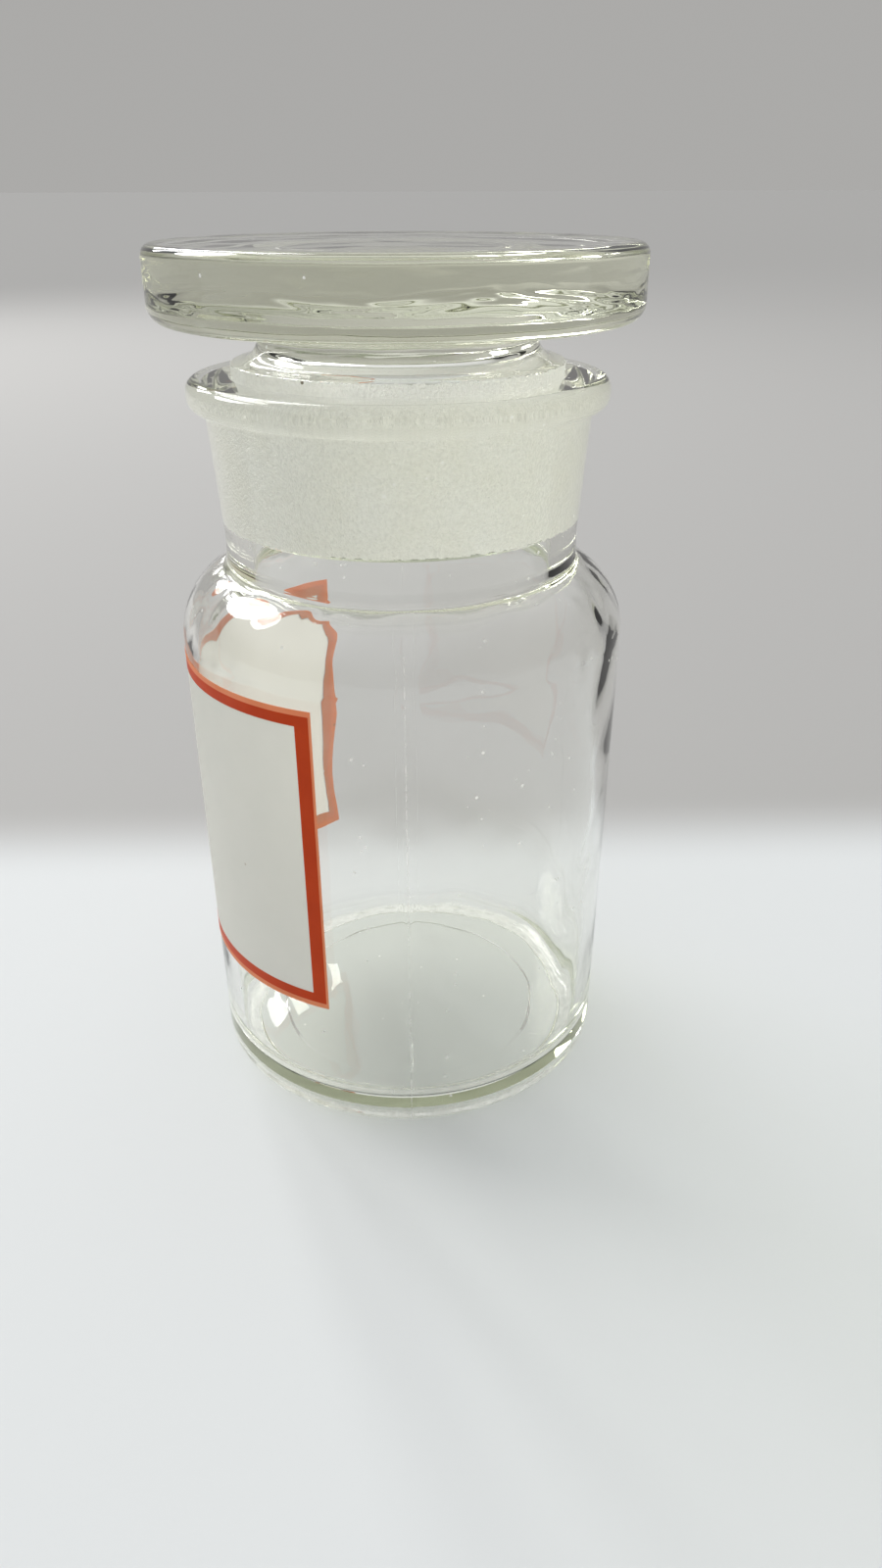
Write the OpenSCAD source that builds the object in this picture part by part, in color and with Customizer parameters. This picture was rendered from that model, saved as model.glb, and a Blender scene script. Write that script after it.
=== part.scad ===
// Wide-mouth reagent bottle with a ground-in flat-headed glass stopper and a
// fired enamel label. The bottle stands on Z = 0 with its axis on Z, and the
// label faces -Y. Every glass piece is turned about Z from one outline.

/* [Body] */
// Diameter of the body where the shoulder starts
body_top_d = 59.8; // [52:0.1:72]
// Diameter of the body just above the heel
body_base_d = 57.8; // [50:0.1:72]
// Height at which the shoulder starts
body_h = 65; // [50:1:90]
// Glass thickness of the side wall and the shoulder
wall_t = 2.2; // [1.4:0.1:3.5]
// Radius of the shoulder's outer curve
shoulder_r = 10; // [7:0.5:12]

/* [Base] */
// Glass thickness between the resting ring and the inside floor
base_t = 2.9; // [2.4:0.1:5]
// Radius of the outer heel
heel_r = 1.7; // [0.8:0.1:3]
// Width of the flat ring that the bottle rests on
rest_ring_w = 2.4; // [1.5:0.1:5]
// Depth of the step inside the resting ring
push_up_step = 0.7; // [0.4:0.1:1.2]
// Diameter of the round mould mark inside the step
base_mark_d = 39.2; // [20:0.1:41]
// Depth of the round mould mark
base_mark_h = 0.25; // [0.1:0.05:0.4]
// Further rise of the underside from the mark to the middle
push_up_rise = 0.7; // [0.3:0.1:1.2]
// Radius of the inside corner between wall and floor
inner_corner_r = 3.4; // [1.5:0.1:5]

/* [Neck] */
// Outer diameter at the foot of the neck
neck_foot_d = 46.6; // [44:0.1:50]
// Outer diameter of the neck under the flange
neck_top_d = 49.2; // [46:0.1:53]
// Height of the flange's top face above the start of the shoulder
neck_h = 32.9; // [28:0.1:45]
// Height of the neck's clear straight foot, above the start of the shoulder
foot_h = 13.6; // [12:0.1:16]
// Radius of the curve between shoulder and neck
neck_fillet_r = 1.2; // [0.6:0.1:2]

/* [Flange] */
// Outer diameter of the flange
flange_d = 53.4; // [50:0.1:60]
// Thickness of the flange
flange_t = 3.8; // [3:0.1:6]
// Radius of the flange's upper and lower outer edges
flange_edge_r = 1.6; // [0.8:0.1:1.8]

/* [Ground joint] */
// Bore diameter at the flange's top face
joint_d = 41.8; // [36:0.1:43]
// Taper of the ground joint, as diameter over length
joint_taper = 0.1; // [0.05:0.01:0.12]
// Ground length of the stopper below the flange's top face
joint_l = 18.5; // [14:0.5:20]
// Ground length of the stopper that stands proud of the flange
joint_proud = 1.5; // [0.5:0.1:3]
// Radial gap between stopper and bore at rest
joint_gap = 0.05; // [0.02:0.01:0.1]
// Length of ground bore below the stopper's lower end
throat_l = 1.5; // [0.5:0.1:3]
// Radius where the bore opens out into the shoulder
throat_lip_r = 1.8; // [0.8:0.1:2.2]
// Width of the bevel on the bore's rim
rim_bevel = 0.4; // [0.1:0.1:0.8]

/* [Stopper] */
// Diameter of the flat head
head_d = 60.6; // [52:0.1:76]
// Thickness of the flat head
head_t = 8.8; // [5:0.1:14]
// Radius of the head's edges
head_edge_r = 1.3; // [0.5:0.1:2]
// Diameter of the waist under the head
waist_d = 34.8; // [30:0.1:36]
// Height from the flange's top face to the underside of the head
head_gap = 6.3; // [5.5:0.1:12]
// Radius of the curve from the waist out to the ground cone
flare_r = 3.1; // [2:0.1:3.3]
// Height of the small shoulder between the ground cone and that curve
flare_step = 0.2; // [0.1:0.1:0.6]
// Glass thickness round the hollow at its open end
plug_wall_t = 3; // [2:0.1:4]
// Depth of the hollow from the stopper's open end
hollow_h = 20.5; // [10:0.5:21]
// How much smaller the hollow's radius is at its top than at its open end
hollow_draft = 1.2; // [0.3:0.1:2]
// Radius of the hollow's upper corner
hollow_corner_r = 3; // [1:0.1:5]
// Bevel on the stopper's lower edge
plug_bevel = 0.4; // [0.1:0.1:0.8]

/* [Label] */
// Height of the label's lower edge
label_z = 19.1; // [8:0.1:25]
// Height of the label
label_h = 44.2; // [20:0.1:46]
// Angle that the label covers round the body
label_angle = 131.5; // [60:0.5:170]
// Width of the frame's stripe
frame_w = 2.2; // [1:0.1:4]
// Thickness of the fired enamel
enamel_t = 0.15; // [0.1:0.01:0.3]

/* [Hidden] */
$fn = 96;
arc_steps = 10;

flange_z = body_h + neck_h;
foot_z = body_h + foot_h;
shoulder_c = [body_top_d / 2 - shoulder_r, body_h];
plug_z = flange_z - joint_l;
throat_z = plug_z - throat_l;
ground_top_z = flange_z + joint_proud;
head_z = flange_z + head_gap;
top_z = head_z + head_t;
joint_slope = joint_taper / 2;

// Outer radius of the body at height z
function body_r(z) = (body_base_d + (body_top_d - body_base_d) * (z - heel_r) / (body_h - heel_r)) / 2;
// Radius of the bore at height z
function bore_r(z) = joint_d / 2 - (flange_z - z) * joint_slope;
// Radius of the stopper's ground cone at height z
function cone_r(z) = bore_r(z) - joint_gap;
// Points of an arc about c from angle a0 to a1
function arc(c, r, a0, a1) =
    [for (i = [0:arc_steps]) let (a = a0 + (a1 - a0) * i / arc_steps) c + r * [cos(a), sin(a)]];
// Points of a shallow dome from its middle out to its rim at radius r and height z
function cap(r, z, rise) =
    let (dome_r = (pow(r, 2) + pow(rise, 2)) / (2 * rise))
    arc([0, z + rise - dome_r], dome_r, 90, 90 - asin(r / dome_r));
// Points in the opposite order
function reversed(points) = [for (i = [1:len(points)]) points[len(points) - i]];
// Height above the shoulder's centre of a circle at radius x that touches the shoulder's curve
function touch_h(x, reach) = sqrt(pow(reach, 2) - pow(x - shoulder_c.x, 2));

// Outside of the bottle, from the middle of its base up to the bore's rim
function bottle_outside() =
    let (
        ring_out = body_base_d / 2 - heel_r,
        ring_in = ring_out - rest_ring_w,
        recess_r = ring_in - push_up_step,
        mark_r = base_mark_d / 2,
        fillet_x = neck_foot_d / 2 + neck_fillet_r,
        fillet_up = touch_h(fillet_x, shoulder_r + neck_fillet_r),
        fillet_a = atan2(fillet_up, fillet_x - shoulder_c.x),
        lip_c = flange_d / 2 - flange_edge_r
    )
    concat(
        cap(mark_r, push_up_step + base_mark_h, push_up_rise),
        [[mark_r + base_mark_h, push_up_step], [recess_r, push_up_step], [ring_in, 0]],
        arc([ring_out, heel_r], heel_r, -90, 0),
        arc(shoulder_c, shoulder_r, 0, fillet_a),
        arc([fillet_x, body_h + fillet_up], neck_fillet_r, 180 + fillet_a, 180),
        [[neck_foot_d / 2, foot_z], [neck_top_d / 2, flange_z - flange_t]],
        arc([lip_c, flange_z - flange_t + flange_edge_r], flange_edge_r, -90, 0),
        arc([lip_c, flange_z - flange_edge_r], flange_edge_r, 0, 90)
    );

// Inside of the bottle, from the bore's rim down to the middle of the floor
function bottle_inside() =
    let (
        inner_r = shoulder_r - wall_t,
        throat_r = bore_r(throat_z),
        lip_r = throat_lip_r,
        lip_up = touch_h(throat_r + lip_r, inner_r + lip_r),
        lip_a = atan2(lip_up, throat_r + lip_r - shoulder_c.x),
        corner_z = base_t + inner_corner_r,
        corner_x = body_r(corner_z) - wall_t - inner_corner_r
    )
    concat(
        [[bore_r(flange_z) + rim_bevel, flange_z], [bore_r(flange_z - rim_bevel), flange_z - rim_bevel]],
        [[throat_r, throat_z]],
        arc([throat_r + lip_r, body_h + lip_up], lip_r, 180, 180 + lip_a),
        arc(shoulder_c, inner_r, lip_a, 0),
        arc([corner_x, corner_z], inner_corner_r, 0, -90),
        reversed(cap(corner_x, base_t, push_up_rise))
    );

// One-piece glass bottle, open at the top
module bottle() {
    color([0.88, 0.92, 0.89, 0.45])
        rotate_extrude() polygon(concat(bottle_outside(), bottle_inside()));
}

// One-piece glass stopper: flat head, waist and hollow ground cone, open below
module stopper() {
    head_r = head_d / 2 - head_edge_r;
    waist_r = waist_d / 2;
    flare_z = ground_top_z + flare_r + flare_step;
    hollow_r = cone_r(plug_z) - plug_wall_t;
    hollow_top = plug_z + hollow_h;
    hollow_top_c = hollow_r - hollow_draft - hollow_corner_r;
    color([0.88, 0.92, 0.89, 0.45])
        rotate_extrude() polygon(concat(
            [[0, hollow_top]],
            arc([hollow_top_c, hollow_top - hollow_corner_r], hollow_corner_r, 90, 0),
            [[hollow_r, plug_z], [cone_r(plug_z) - plug_bevel, plug_z]],
            [[cone_r(plug_z + plug_bevel), plug_z + plug_bevel]],
            [[cone_r(ground_top_z), ground_top_z]],
            arc([waist_r + flare_r, flare_z], flare_r, -90, -180),
            [[waist_r, head_z]],
            arc([head_r, head_z + head_edge_r], head_edge_r, -90, 0),
            arc([head_r, top_z - head_edge_r], head_edge_r, 0, 90),
            [[0, top_z]]
        ));
}

// Thin enamel layer on the body's outside between two heights and two angles from -Y
module enamel(z0, z1, a0, a1) {
    rotate([0, 0, -90 + a0])
        rotate_extrude(angle = a1 - a0)
            polygon([
                [body_r(z0), z0], [body_r(z0) + enamel_t, z0],
                [body_r(z1) + enamel_t, z1], [body_r(z1), z1]
            ]);
}

// Angle that a width covers round the body
function arc_angle(width) = width / body_r(label_z + label_h / 2) * 180 / PI;

// White panel inside the frame
module label_panel() {
    edge = label_angle / 2 - arc_angle(frame_w);
    color([0.93, 0.93, 0.9])
        enamel(label_z + frame_w, label_z + label_h - frame_w, -edge, edge);
}

// Orange-red stripe round the panel
module label_frame() {
    edge = label_angle / 2;
    color([0.78, 0.27, 0.12])
        difference() {
            enamel(label_z, label_z + label_h, -edge, edge);
            label_window();
        }
}

// Block of space that the panel takes out of the frame
module label_window() {
    edge = label_angle / 2 - arc_angle(frame_w);
    far = body_top_d;
    rotate([0, 0, -90 - edge])
        rotate_extrude(angle = 2 * edge)
            translate([body_base_d / 4, label_z + frame_w])
                square([far, label_h - 2 * frame_w]);
}

bottle();
stopper();
label_panel();
label_frame();
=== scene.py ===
# %% [markdown]
# # A wide-mouth reagent bottle with a ground-in stopper
#
# The object is two pieces of pressed glass and a label that is fired on in two enamels. Glass shows
# whatever lies behind and inside it, so its look is decided by true wall thickness, true curves and
# slight unevenness, and not by a surface pattern. Each piece of glass is therefore one closed mesh,
# turned about Z from a single outline, as the mould turned it.
#
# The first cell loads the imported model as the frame. Everything is in metres in that frame: Z is
# the bottle's axis, Z = 0 is the bench and the middle of the label faces -Y.

# %% Load the frame
import math
import bpy
from mathutils import Matrix, Vector


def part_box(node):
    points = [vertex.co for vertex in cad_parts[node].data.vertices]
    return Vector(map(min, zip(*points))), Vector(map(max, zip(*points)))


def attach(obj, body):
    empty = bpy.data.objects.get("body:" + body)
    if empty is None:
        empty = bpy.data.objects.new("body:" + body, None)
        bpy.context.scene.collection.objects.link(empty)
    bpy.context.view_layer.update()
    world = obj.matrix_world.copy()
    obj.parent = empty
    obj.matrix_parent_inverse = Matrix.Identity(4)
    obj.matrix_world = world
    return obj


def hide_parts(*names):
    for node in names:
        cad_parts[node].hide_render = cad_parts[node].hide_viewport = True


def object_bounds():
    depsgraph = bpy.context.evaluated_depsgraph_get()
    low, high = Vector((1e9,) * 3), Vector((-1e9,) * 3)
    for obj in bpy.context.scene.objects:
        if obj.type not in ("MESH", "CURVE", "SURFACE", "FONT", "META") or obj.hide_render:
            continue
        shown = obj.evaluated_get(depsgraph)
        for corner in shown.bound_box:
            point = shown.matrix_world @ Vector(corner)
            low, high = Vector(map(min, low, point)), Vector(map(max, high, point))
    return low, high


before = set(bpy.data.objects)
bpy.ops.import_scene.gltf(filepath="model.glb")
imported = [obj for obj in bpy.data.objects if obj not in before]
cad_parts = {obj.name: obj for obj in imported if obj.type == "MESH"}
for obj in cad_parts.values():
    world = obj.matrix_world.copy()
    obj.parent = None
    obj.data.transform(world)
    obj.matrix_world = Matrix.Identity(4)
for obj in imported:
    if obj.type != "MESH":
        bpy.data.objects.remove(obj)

cad_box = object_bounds()
MM = 0.001
for node in sorted(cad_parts):
    low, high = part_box(node)
    print(node, "from", [round(v / MM, 2) for v in low], "to", [round(v / MM, 2) for v in high], "mm")

# %% [markdown]
# ## The camera and the stage
#
# Where a picture is taken from close by, perspective is strong: the head of the stopper looks much
# wider than the base. The camera therefore stands at its true distance, and the lens follows from
# that. It is built from plain angles: a heading round the bottle, a pitch down and a slight roll.

# %% Camera
LABEL_TO_CAMERA = math.radians(87.8)   # turn about Z from the middle of the label to the camera
CAMERA_REACH = 156.3 * MM              # level distance from the bottle's axis
CAMERA_HEIGHT = 119.1 * MM
PITCH_DOWN = math.radians(27.02)
AIM_ASIDE = math.radians(1.903)        # the lens points slightly past the axis
ROLL = math.radians(-0.148)
LENS_MM, SENSOR_MM = 27.07, 36


def place_camera():
    """Adds the camera at its heading, looking down at the bottle."""
    toward = Vector((math.sin(LABEL_TO_CAMERA), -math.cos(LABEL_TO_CAMERA), 0))
    turn = Matrix.Rotation(LABEL_TO_CAMERA, 3, "Z")
    ahead = turn @ Vector((math.sin(AIM_ASIDE) * math.cos(PITCH_DOWN),
                           math.cos(AIM_ASIDE) * math.cos(PITCH_DOWN), -math.sin(PITCH_DOWN)))
    level = turn @ Vector((math.cos(AIM_ASIDE), -math.sin(AIM_ASIDE), 0))
    above = level.cross(ahead)
    right = math.cos(ROLL) * level + math.sin(ROLL) * above
    up = math.cos(ROLL) * above - math.sin(ROLL) * level
    bpy.ops.object.camera_add()
    camera = bpy.context.object
    camera.name = "camera"
    spot = toward * CAMERA_REACH + Vector((0, 0, CAMERA_HEIGHT))
    axes = Matrix((right, up, -ahead)).transposed().to_4x4()
    camera.matrix_world = Matrix.Translation(spot) @ axes
    camera.data.lens = LENS_MM
    camera.data.sensor_width = SENSOR_MM
    camera.data.clip_start = 5 * MM
    bpy.context.scene.camera = camera
    return camera


camera = place_camera()
print("camera stands at", [round(v / MM, 1) for v in camera.location], "mm")

# %% [markdown]
# Node trees are written with two small helpers, so that each material below reads as a list of what
# it is made of. `put` adds a node with its settings, and `join` links two sockets.

# %% Helpers for node trees


def put(tree, kind, sockets=None, **settings):
    """Adds a node, sets its own settings, then the values of its named or numbered inputs."""
    node = tree.nodes.new(kind)
    for name, value in settings.items():
        setattr(node, name, value)
    for name, value in (sockets or {}).items():
        node.inputs[name].default_value = value
    return node


def join(tree, source, target):
    """Links an output socket to an input socket."""
    tree.links.new(source, target)


def new_material(name):
    """An empty material with its output node."""
    material = bpy.data.materials.new(name)
    material.use_nodes = True
    tree = material.node_tree
    tree.nodes.clear()
    output = put(tree, "ShaderNodeOutputMaterial")
    return material, tree, output


def ramp(tree, source, stops):
    """A colour ramp through (position, grey or colour) stops, fed by source."""
    node = put(tree, "ShaderNodeValToRGB")
    elements = node.color_ramp.elements
    while len(elements) < len(stops):
        elements.new(0.5)
    for element, (position, colour) in zip(elements, stops):
        element.position = position
        element.color = (colour,) * 3 + (1,) if isinstance(colour, (int, float)) else (*colour, 1)
    join(tree, source, node.inputs["Fac"])
    return node


# %% [markdown]
# The stage is a broad pale floor. Its colour runs on into the world's pale band, so that there is no
# horizon. Glass shows its surroundings, so they are kept simple: a bright side, a dim side, a broad
# sun and one upright window.

# %% Floor, world and lamps
FLOOR_NEAR = (0.68, 0.70, 0.705)
FLOOR_FAR = (0.405, 0.40, 0.39)
BACKDROP = (0.41, 0.405, 0.395)        # what the far floor looks like once it is lit
FADE_FROM, FADE_TO = 36 * MM, 72 * MM  # behind the bottle's axis
FLOOR_SIZE = 40.0
FLOOR_DROP = 0.03 * MM                 # keeps the floor clear of the resting ring's face
SKY_BRIGHT = (0.88, 0.89, 0.91)
SKY_DIM = (0.30, 0.30, 0.29)
BAND_TOP = (0.22, 0.60)                # sines of the angles between which the band turns into ceiling
WINDOW_HEADING = -125          # degrees from the camera's side, so behind the bottle and to its left
SUN_STRENGTH, SUN_SPREAD, SUN_RISE = 1.3, 24, 38


def heading_to(degrees, rise=0.0):
    """A level or rising direction, turned from the camera's side by so many degrees."""
    turn = LABEL_TO_CAMERA + math.radians(degrees)
    level = math.cos(math.radians(rise))
    return Vector((math.sin(turn) * level, -math.cos(turn) * level, math.sin(math.radians(rise))))


def make_floor():
    """A broad plane under the bottle, pale in front and greyer behind, with a faint paper grain."""
    bpy.ops.mesh.primitive_plane_add(size=FLOOR_SIZE, location=(0, 0, -FLOOR_DROP))
    floor = bpy.context.object
    floor.name = "floor"
    material, tree, output = new_material("pale_floor")
    spot = put(tree, "ShaderNodeTexCoord")
    behind = put(tree, "ShaderNodeVectorMath", operation="DOT_PRODUCT")
    behind.inputs[1].default_value = heading_to(180)
    fade = put(tree, "ShaderNodeMapRange", {"From Min": FADE_FROM, "From Max": FADE_TO},
               interpolation_type="SMOOTHERSTEP")
    tone = put(tree, "ShaderNodeMix", {"A": (*FLOOR_NEAR, 1), "B": (*FLOOR_FAR, 1)}, data_type="RGBA")
    grain = put(tree, "ShaderNodeTexNoise", {"Scale": 900.0, "Detail": 3.0})
    shader = put(tree, "ShaderNodeBsdfPrincipled", {"Roughness": 0.8})
    bump = put(tree, "ShaderNodeBump", {"Strength": 0.08, "Distance": 0.0002})
    join(tree, spot.outputs["Object"], behind.inputs[0])
    join(tree, behind.outputs["Value"], fade.inputs["Value"])
    join(tree, fade.outputs["Result"], tone.inputs["Factor"])
    join(tree, tone.outputs["Result"], shader.inputs["Base Color"])
    join(tree, spot.outputs["Object"], grain.inputs["Vector"])
    join(tree, grain.outputs["Fac"], bump.inputs["Height"])
    join(tree, bump.outputs["Normal"], shader.inputs["Normal"])
    join(tree, shader.outputs["BSDF"], output.inputs["Surface"])
    floor.data.materials.append(material)
    return floor


def make_world():
    """A room's light: a plain pale band all round at eye level, and above it a ceiling that is bright
    on the window's side and dim on the other."""
    world = bpy.data.worlds.new("studio")
    bpy.context.scene.world = world
    world.use_nodes = True
    tree = world.node_tree
    tree.nodes.clear()
    spot = put(tree, "ShaderNodeTexCoord")
    toward = put(tree, "ShaderNodeVectorMath", operation="DOT_PRODUCT")
    toward.inputs[1].default_value = heading_to(WINDOW_HEADING, 35)
    side = put(tree, "ShaderNodeMapRange", {"From Min": -0.9, "From Max": 0.9},
               interpolation_type="SMOOTHSTEP")
    ceiling = put(tree, "ShaderNodeMix", {"A": (*SKY_DIM, 1), "B": (*SKY_BRIGHT, 1)}, data_type="RGBA")
    parts = put(tree, "ShaderNodeSeparateXYZ")
    rise = put(tree, "ShaderNodeMapRange", {"From Min": BAND_TOP[0], "From Max": BAND_TOP[1]},
               interpolation_type="SMOOTHSTEP")
    tone = put(tree, "ShaderNodeMix", {"A": (*BACKDROP, 1)}, data_type="RGBA")
    light = put(tree, "ShaderNodeBackground")
    output = put(tree, "ShaderNodeOutputWorld")
    join(tree, spot.outputs["Generated"], toward.inputs[0])
    join(tree, spot.outputs["Generated"], parts.inputs[0])
    join(tree, toward.outputs["Value"], side.inputs["Value"])
    join(tree, side.outputs["Result"], ceiling.inputs["Factor"])
    join(tree, parts.outputs["Z"], rise.inputs["Value"])
    join(tree, rise.outputs["Result"], tone.inputs["Factor"])
    join(tree, ceiling.outputs["Result"], tone.inputs["B"])
    join(tree, tone.outputs["Result"], light.inputs["Color"])
    join(tree, light.outputs[0], output.inputs["Surface"])


def add_sun():
    """A very broad sun: the same light over the whole floor, with soft shadows."""
    bpy.ops.object.light_add(type="SUN")
    sun = bpy.context.object
    sun.name = "sun"
    sun.data.energy = SUN_STRENGTH
    sun.data.angle = math.radians(SUN_SPREAD)
    sun.data.color = (1, 0.985, 0.955)
    sun.rotation_euler = heading_to(WINDOW_HEADING, SUN_RISE).to_track_quat("Z", "Y").to_euler()


def add_lamp(name, heading, height, reach, size, power):
    """A soft box that faces the bottle. heading is the turn from the camera's side, in degrees."""
    spot = heading_to(heading) * reach + Vector((0, 0, height))
    bpy.ops.object.light_add(type="AREA", location=spot)
    lamp = bpy.context.object
    lamp.name = name
    lamp.data.shape = "RECTANGLE"
    lamp.data.size, lamp.data.size_y = size
    lamp.data.energy = power
    aim = Vector((0, 0, cad_box[1][2] / 2)) - spot
    lamp.rotation_euler = aim.to_track_quat("-Z", "Y").to_euler()


bpy.context.scene.view_settings.view_transform = "Standard"
floor = make_floor()
make_world()
add_sun()
add_lamp("window_left", heading=-146, height=0.8, reach=1.0, size=(0.11, 0.85), power=2.6)
add_lamp("window_right", heading=-158, height=0.8, reach=1.0, size=(0.11, 0.85), power=2.6)

# %% [markdown]
# ## Sizes
#
# The outline's main sizes come from the frame: each CAD node's box says how wide and how high its
# piece is. The sizes that a box can't show, such as a wall's thickness, are repeated here from the
# construction, in millimetres.

# %% Main sizes of the two glass pieces
bottle_low, bottle_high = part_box("bottle")
stopper_low, stopper_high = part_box("stopper")
label_low, label_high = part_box("label_frame")

rim_z = bottle_high[2]                 # top face of the flange
body_top_r = bottle_high[0]            # radius where the shoulder starts
head_r = stopper_high[0]               # radius of the stopper's head
top_z = stopper_high[2]
plug_z = stopper_low[2]                # lower end of the ground cone

shoulder_z = rim_z - 32.9 * MM
body_base_r = body_top_r - 1.0 * MM
wall = 2.2 * MM
shoulder_r = 10 * MM
heel_r = 1.7 * MM
floor_z = 2.9 * MM
corner_r = 3.4 * MM
ring_w = 2.4 * MM
step_h = 0.7 * MM
mark_r, mark_h = 19.6 * MM, 0.35 * MM
push_up = 0.7 * MM
neck_foot_r, neck_top_r = 23.3 * MM, 24.6 * MM
foot_z = shoulder_z + 13.6 * MM
fillet_r = 1.2 * MM
flange_r, flange_t, flange_edge = 26.7 * MM, 3.8 * MM, 1.6 * MM
bore_top_r, taper, seat_gap = 20.9 * MM, 0.05, 0.05 * MM
throat_z = plug_z - 1.5 * MM
throat_lip = 1.8 * MM
rim_bevel = 0.4 * MM
ground_top_z = rim_z + 1.5 * MM
head_z = rim_z + 6.3 * MM
head_edge = 1.3 * MM
head_foot = 2.2 * MM                    # the rounder edge of the head's underside
waist_r = 17.4 * MM
flare_r, flare_step = 3.1 * MM, 0.2 * MM
hollow_r = bore_top_r - (rim_z - plug_z) * taper - seat_gap - 3 * MM
hollow_top_z = plug_z + 20.5 * MM
hollow_draft, hollow_corner = 1.2 * MM, 3 * MM
plug_bevel = 0.4 * MM
print("bottle", round(rim_z / MM, 1), "mm high, with stopper", round(top_z / MM, 1), "mm")


def bore_r(z):
    """Radius of the ground bore at height z."""
    return bore_top_r - (rim_z - z) * taper


def body_r(z):
    """Outer radius of the tapered body at height z."""
    return body_base_r + (body_top_r - body_base_r) * (z - heel_r) / (shoulder_z - heel_r)


# %% [markdown]
# ## Turning a piece from its outline
#
# An outline is a list of (radius, height) points. Straight stretches are divided, so that the
# finished wall can be made slightly uneven, and corners are arcs. `turn` draws the outline as a
# chain of edges, extruding one vertex at a time, and spins it about Z. That is how a lathe, or a
# round mould, makes the shape. The spin can leave a surface inside out, so its doubles are merged
# and its normals are recalculated before anything else is done.

# %% Outline and lathe helpers
ARC_STEPS = 12
TURN_STEPS = 240
SEAM_TURN = LABEL_TO_CAMERA - math.pi / 2   # angle from +X of one mould seam, the other is opposite


def arc(centre, radius, start, end, steps=ARC_STEPS):
    """Points of an arc about centre, from start to end in degrees."""
    angles = [math.radians(start + (end - start) * i / steps) for i in range(steps + 1)]
    return [(centre[0] + radius * math.cos(a), centre[1] + radius * math.sin(a)) for a in angles]


def straight(start, end, step=2 * MM, hold=0.12 * MM):
    """Points between two ends, neither of them included, about a step apart. On a longer stretch one
    more point lies close to each end, so that smooth shading keeps the stretch flat."""
    length = math.dist(start, end)
    count = max(1, round(length / step))
    shares = [i / count for i in range(1, count)]
    if length > 5 * hold:
        shares = [hold / length] + shares + [1 - hold / length]
    return [(start[0] + (end[0] - start[0]) * t, start[1] + (end[1] - start[1]) * t) for t in shares]


def dome(rim_r, rim_height, rise, steps=ARC_STEPS):
    """Points of a shallow dome from its middle out to its rim."""
    radius = (rim_r ** 2 + rise ** 2) / (2 * rise)
    half = math.degrees(math.asin(rim_r / radius))
    return arc((0, rim_height + rise - radius), radius, 90, 90 - half, steps)


def chain(*parts):
    """Joins stretches of outline. Gaps between them are filled with divided straight lines."""
    points = list(parts[0])
    for part in parts[1:]:
        points += straight(points[-1], part[0]) + list(part)
    kept = [points[0]]
    for point in points[1:]:
        if math.dist(point, kept[-1]) > 0.01 * MM:
            kept.append(point)
    return kept


def turn(name, outline):
    """Draws the outline beside the axis and spins it into a closed, smooth-shaded mesh."""
    bpy.ops.object.select_all(action="DESELECT")
    bpy.ops.mesh.primitive_plane_add(size=MM)
    piece = bpy.context.object
    piece.name = piece.data.name = name
    across = Vector((math.cos(SEAM_TURN), math.sin(SEAM_TURN), 0))
    bpy.ops.object.mode_set(mode="EDIT")
    bpy.ops.mesh.select_all(action="SELECT")
    bpy.ops.mesh.merge(type="CENTER")
    bpy.ops.transform.translate(value=across * outline[0][0] + Vector((0, 0, outline[0][1])))
    for (r0, z0), (r1, z1) in zip(outline, outline[1:]):
        move = across * (r1 - r0) + Vector((0, 0, z1 - z0))
        bpy.ops.mesh.extrude_vertices_move(TRANSFORM_OT_translate={"value": move})
    bpy.ops.mesh.select_all(action="SELECT")
    bpy.ops.mesh.spin(steps=TURN_STEPS, angle=2 * math.pi, center=(0, 0, 0), axis=(0, 0, 1))
    bpy.ops.mesh.select_all(action="SELECT")
    bpy.ops.mesh.remove_doubles(threshold=0.002 * MM)
    bpy.ops.mesh.normals_make_consistent(inside=False)
    bpy.ops.object.mode_set(mode="OBJECT")
    bpy.ops.object.shade_smooth_by_angle(angle=math.radians(35))
    return piece


# %% [markdown]
# ## The bottle
#
# The outline starts under the middle of the base, goes round the resting ring, up the wall and the
# neck, over the flange, down the ground bore and along the inside back to the middle of the floor.

# %% Outline of the bottle


def touch(x, reach):
    """Height above the shoulder's centre at which a circle at radius x touches a circle of that reach."""
    return math.sqrt(reach ** 2 - (x - (body_top_r - shoulder_r)) ** 2)


def lined_arc(centre, radius, start, end, lines=4, depth=0.05 * MM):
    """An arc with shallow lines pressed across it, as a worn mould leaves them."""
    points = arc(centre, radius, start, end, 4 * lines)
    angles = [math.radians(start + (end - start) * i / (4 * lines)) for i in range(4 * lines + 1)]
    return [(x - math.cos(a) * depth * math.sin(math.pi * i / 2) ** 2,
             z - math.sin(a) * depth * math.sin(math.pi * i / 2) ** 2)
            for i, ((x, z), a) in enumerate(zip(points, angles))]


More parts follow.
